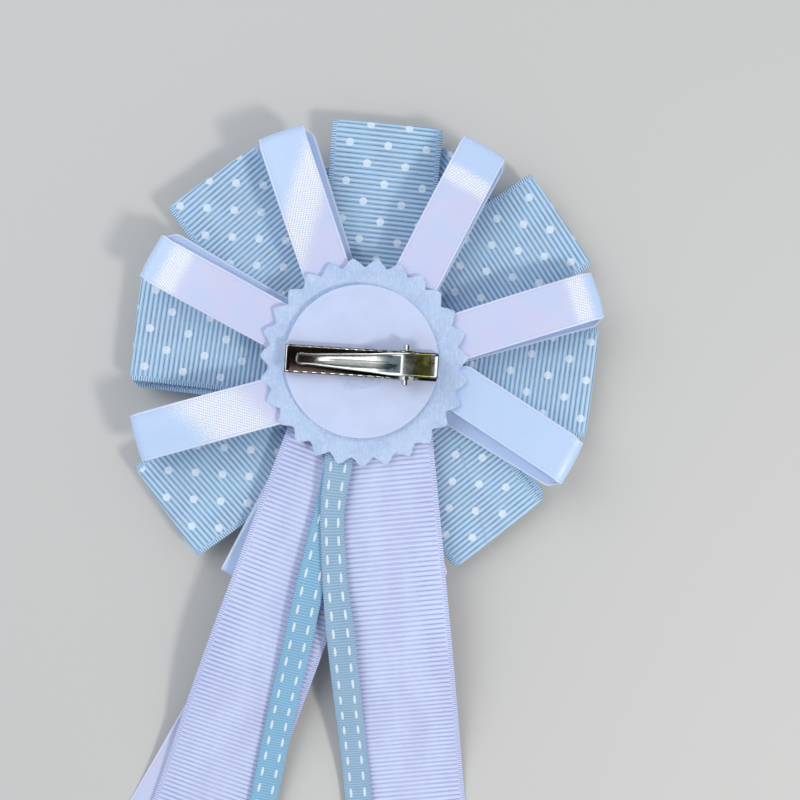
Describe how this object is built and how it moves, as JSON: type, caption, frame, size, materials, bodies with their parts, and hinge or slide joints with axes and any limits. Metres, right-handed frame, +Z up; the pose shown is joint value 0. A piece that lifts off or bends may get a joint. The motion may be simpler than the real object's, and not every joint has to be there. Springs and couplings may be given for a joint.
{
  "type": "ribbon rosette",
  "caption": "Ribbon rosette lying face down: looped polka-dot and satin ribbons, hanging tails, a pinked felt disc, a card disc and a sprung metal hair clip.",
  "frame": {"origin": "centre of the front button's flat face, on which the rosette rests", "axes": "+Z up from the table, out of the rosette's back; +Y away from the tails; +X to the right in the picture"},
  "size_m": [0.1727, 0.2872, 0.0296],
  "materials": {
    "dotted_grosgrain": "ribbed ribbon with white dots",
    "white_satin": "glossy woven satin",
    "white_grosgrain": "ribbed ribbon",
    "teal_grosgrain": "ribbed ribbon with white stitches",
    "felt": "matte felt",
    "button_cloth": "plain woven cover",
    "card": "smooth card",
    "chrome": "polished"
  },
  "bodies": {
    "rosette": {"dot_loop_1": "dotted_grosgrain", "dot_loop_2": "dotted_grosgrain", "dot_loop_3": "dotted_grosgrain", "dot_loop_4": "dotted_grosgrain", "dot_loop_5": "dotted_grosgrain", "dot_loop_6": "dotted_grosgrain", "dot_loop_7": "dotted_grosgrain", "dot_loop_8": "dotted_grosgrain", "front_loop_1": "dotted_grosgrain", "front_loop_2": "dotted_grosgrain", "front_loop_3": "dotted_grosgrain", "front_loop_4": "dotted_grosgrain", "front_loop_5": "dotted_grosgrain", "front_loop_6": "dotted_grosgrain", "front_loop_7": "dotted_grosgrain", "front_loop_8": "dotted_grosgrain", "satin_loop_1": "white_satin", "satin_loop_2": "white_satin", "satin_loop_3": "white_satin", "satin_loop_4": "white_satin", "satin_loop_5": "white_satin", "satin_loop_6": "white_satin", "satin_loop_7": "white_satin", "satin_loop_8": "white_satin", "satin_tail": "white_satin", "white_tail_left": "white_grosgrain", "white_tail_right": "white_grosgrain", "stitched_tail_left": "teal_grosgrain", "stitched_tail_right": "teal_grosgrain", "felt_disc": "felt", "card_disc": "card", "front_button": "button_cloth", "clip_base": "chrome", "clip_pin": "chrome", "clip_spring": "chrome"},
    "lever": {"clip_lever": "chrome"}
  },
  "joints": [
    {"name": "clip_hinge", "type": "hinge", "parent": "rosette", "child": "lever", "pos_m": [0.01497, -0.00144, 0.0249], "axis": [0.0628, 0.998, 0], "range_deg": [0, 25], "stiffness_Nm_per_rad": 0.08, "springref_deg": -40.11}
  ]
}
